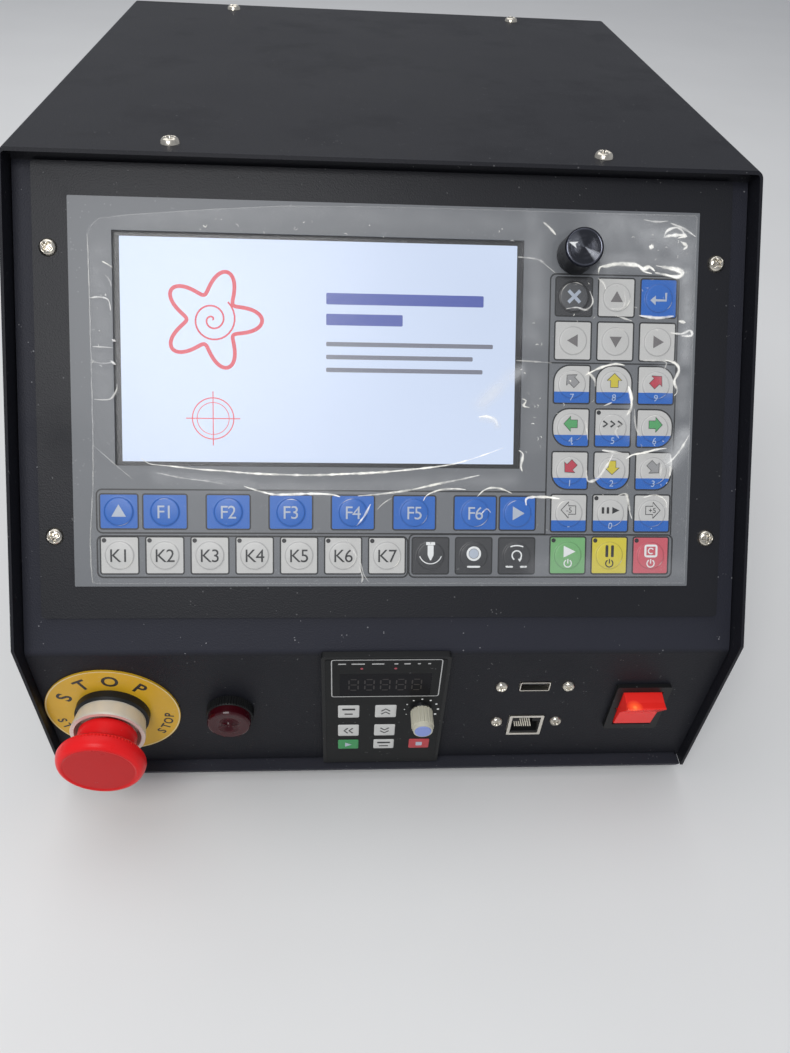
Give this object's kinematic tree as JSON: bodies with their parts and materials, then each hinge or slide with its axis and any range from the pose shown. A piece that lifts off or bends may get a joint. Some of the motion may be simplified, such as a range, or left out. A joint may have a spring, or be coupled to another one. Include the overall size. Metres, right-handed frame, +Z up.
{
  "type": "engraving machine control console",
  "caption": "Desk console of an engraving machine: sloping keypad face with display and knob, emergency stop, lamp, drive keypad, ports and switch.",
  "frame": {"origin": "on the table, below the middle of the console's overall length and width", "axes": "+X to the operator's right, +Y away from the operator, +Z up"},
  "size_m": [0.2946, 0.419, 0.2465],
  "materials": {
    "case_paint": "fine-textured black powder coat",
    "plate_paint": "satin black powder coat",
    "foot_rubber": "matte black rubber",
    "nickel_screw": "nickel-plated steel",
    "zinc_steel": "zinc-plated steel",
    "overlay_print": "printed grey film with coloured keys",
    "clear_film": "loose clear protective film",
    "clear_pane": "clear window pane",
    "display": "lit display in a dark frame",
    "board_green": "green circuit board",
    "housing_steel": "zinc-coated sheet",
    "dial_black": "black anodised, spun top",
    "machined_steel": "turned steel",
    "stop_red": "bright red moulded plastic",
    "stop_grey": "light grey moulded plastic",
    "black_plastic": "black moulded plastic",
    "label_yellow": "yellow label plate",
    "lamp_red": "dark red lens",
    "drive_face": "printed keypad film with a dark display",
    "speed_beige": "beige moulded plastic",
    "speed_blue": "light blue moulded plastic",
    "socket_metal": "nickel-plated sheet",
    "socket_tongue": "white moulded plastic",
    "contact_gold": "gold-plated contacts",
    "contact_tin": "tinned brass",
    "rocker_red": "red translucent plastic, lit",
    "module_metal": "perforated sheet",
    "driver_black": "black finned aluminium",
    "drive_plastic": "dark moulded housing"
  },
  "bodies": {
    "console": {"axis_socket_nuts": "socket_metal", "axis_socket_pins": "contact_gold", "axis_sockets": "socket_metal", "base_tray": "case_paint", "clinch_nuts": "zinc_steel", "controller_board": "board_green", "controller_housing": "housing_steel", "controller_plate": "plate_paint", "cover_screws": "nickel_screw", "display_panel": "display", "display_window": "clear_pane", "drive_keypad_case": "black_plastic", "drive_keypad_face": "drive_face", "encoder_body": "machined_steel", "encoder_nut": "machined_steel", "fan_frames": "black_plastic", "fan_guards": "black_plastic", "fan_screws": "zinc_steel", "foot_screws": "zinc_steel", "front_fascia": "case_paint", "inlet_pins": "contact_tin", "keypad_overlay": "overlay_print", "lamp_body": "black_plastic", "lamp_lens": "lamp_red", "lamp_nut": "black_plastic", "mains_inlet": "black_plastic", "module_screws": "zinc_steel", "network_contacts": "contact_gold", "network_insert": "black_plastic", "network_shield": "socket_metal", "outer_cover": "case_paint", "plate_nuts": "zinc_steel", "plate_screws": "nickel_screw", "power_supply": "module_metal", "protective_film": "clear_film", "rear_panel": "case_paint", "rocker_body": "black_plastic", "rocker_terminals": "contact_tin", "rubber_feet": "foot_rubber", "socket_screws": "nickel_screw", "speed_pot": "machined_steel", "spindle_drive": "drive_plastic", "stepper_drivers": "driver_black", "stop_base": "black_plastic", "stop_collar": "stop_grey", "stop_contact_block": "black_plastic", "stop_label_ring": "label_yellow", "stop_nut": "black_plastic", "usb_insert": "socket_tongue", "usb_shell": "socket_metal"},
    "stop_plunger": {"stop_stem": "machined_steel"},
    "stop_cap": {"stop_head": "stop_red"},
    "power_rocker": {"rocker_paddle": "rocker_red"},
    "jog_dial": {"jog_knob": "dial_black", "encoder_shaft": "machined_steel"},
    "speed_dial": {"speed_knob": "speed_beige", "speed_knob_cap": "speed_blue", "speed_shaft": "machined_steel"},
    "fan_left": {"fan_rotor_left": "black_plastic"},
    "fan_right": {"fan_rotor_right": "black_plastic"}
  },
  "joints": [
    {"name": "stop_push", "type": "slide", "parent": "console", "child": "stop_plunger", "axis": [0, 1, 0], "range_m": [0, 0.005]},
    {"name": "stop_twist", "type": "hinge", "parent": "stop_plunger", "child": "stop_cap", "pos_m": [-0.1155, -0.18027, 0.05], "axis": [0, 1, 0], "range_deg": [0, 35], "stiffness_Nm_per_rad": 0.05},
    {"name": "rocker_tilt", "type": "hinge", "parent": "console", "child": "power_rocker", "pos_m": [0.113, -0.18077, 0.05], "axis": [1, 0, 0], "range_deg": [-22, 0]},
    {"name": "jog_turn", "type": "hinge", "parent": "console", "child": "jog_dial", "pos_m": [0.0731, -0.08941, 0.21869], "axis": [0, -0.788, 0.6157], "continuous": true},
    {"name": "speed_turn", "type": "hinge", "parent": "console", "child": "speed_dial", "pos_m": [0.0163, -0.18027, 0.053], "axis": [0, -1, 0], "range_deg": [-150, 150]},
    {"name": "fan_left_spin", "type": "hinge", "parent": "console", "child": "fan_left", "pos_m": [-0.062, 0.19647, 0.16], "axis": [0, 1, 0], "continuous": true},
    {"name": "fan_right_spin", "type": "hinge", "parent": "console", "child": "fan_right", "pos_m": [0.062, 0.19647, 0.16], "axis": [0, 1, 0], "continuous": true}
  ]
}
